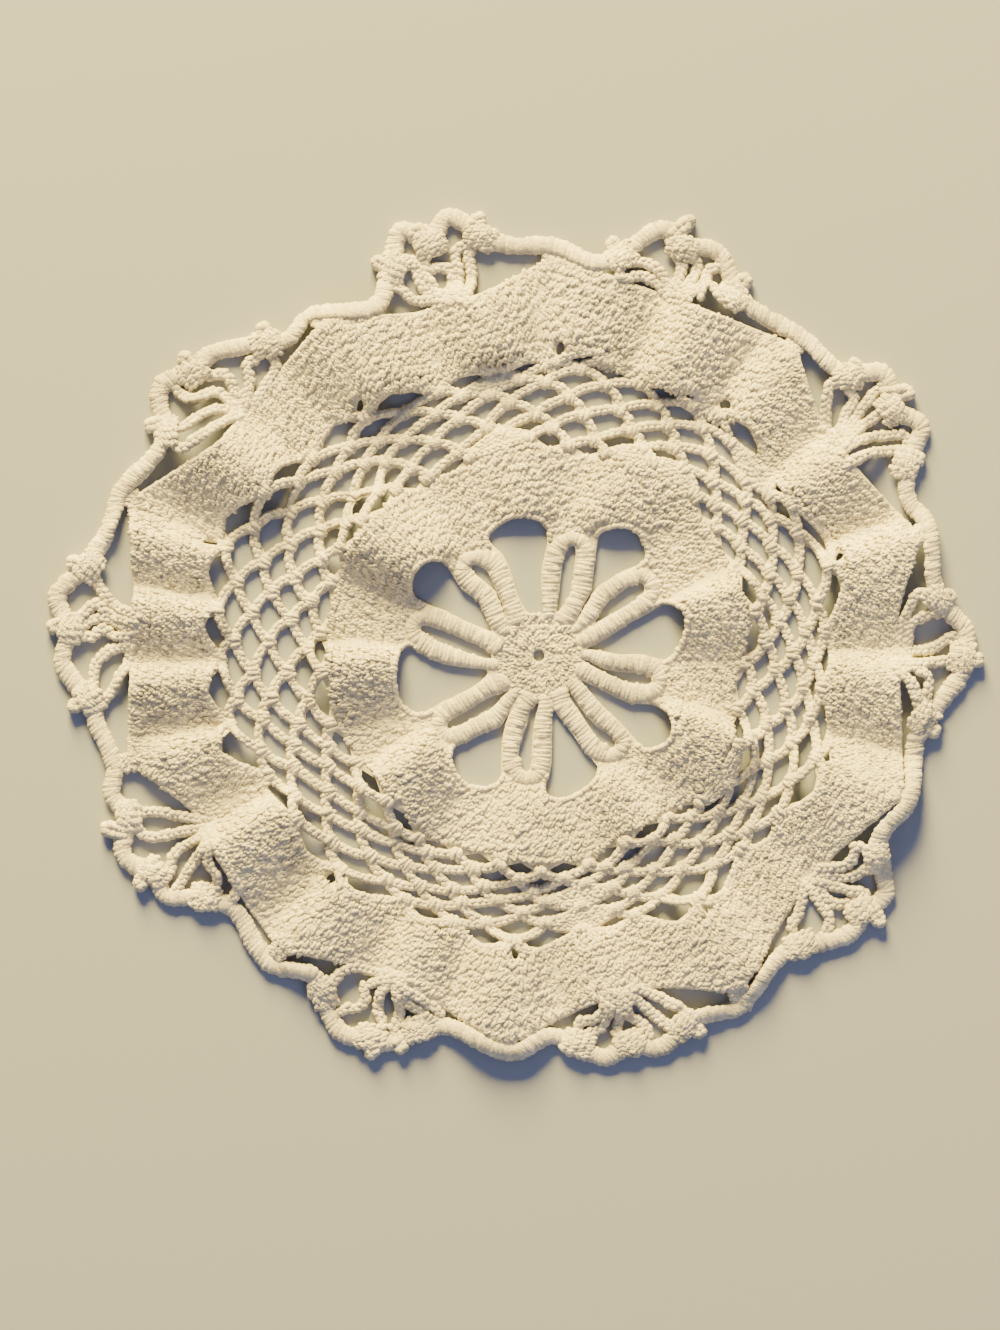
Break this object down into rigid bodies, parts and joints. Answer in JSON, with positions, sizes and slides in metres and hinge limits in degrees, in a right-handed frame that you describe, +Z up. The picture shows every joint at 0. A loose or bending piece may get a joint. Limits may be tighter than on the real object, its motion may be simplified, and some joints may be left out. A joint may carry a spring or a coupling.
{
  "type": "lace doily",
  "caption": "Round crocheted cotton lace doily with an openwork flower, a chain-loop net between two solid bands and a scalloped border of fans; lies flat under an ornament.",
  "frame": {"origin": "on the surface that the doily lies on, under the middle of its outline", "axes": "+Z up out of the surface, +X along the doily's longer way, +Y across it"},
  "size_m": [0.3128, 0.2867, 0.0075],
  "materials": {
    "cream_cotton": "matt mercerised crochet cotton, unbleached cream"
  },
  "bodies": {
    "root": {"doily": "cream_cotton"}
  },
  "joints": []
}
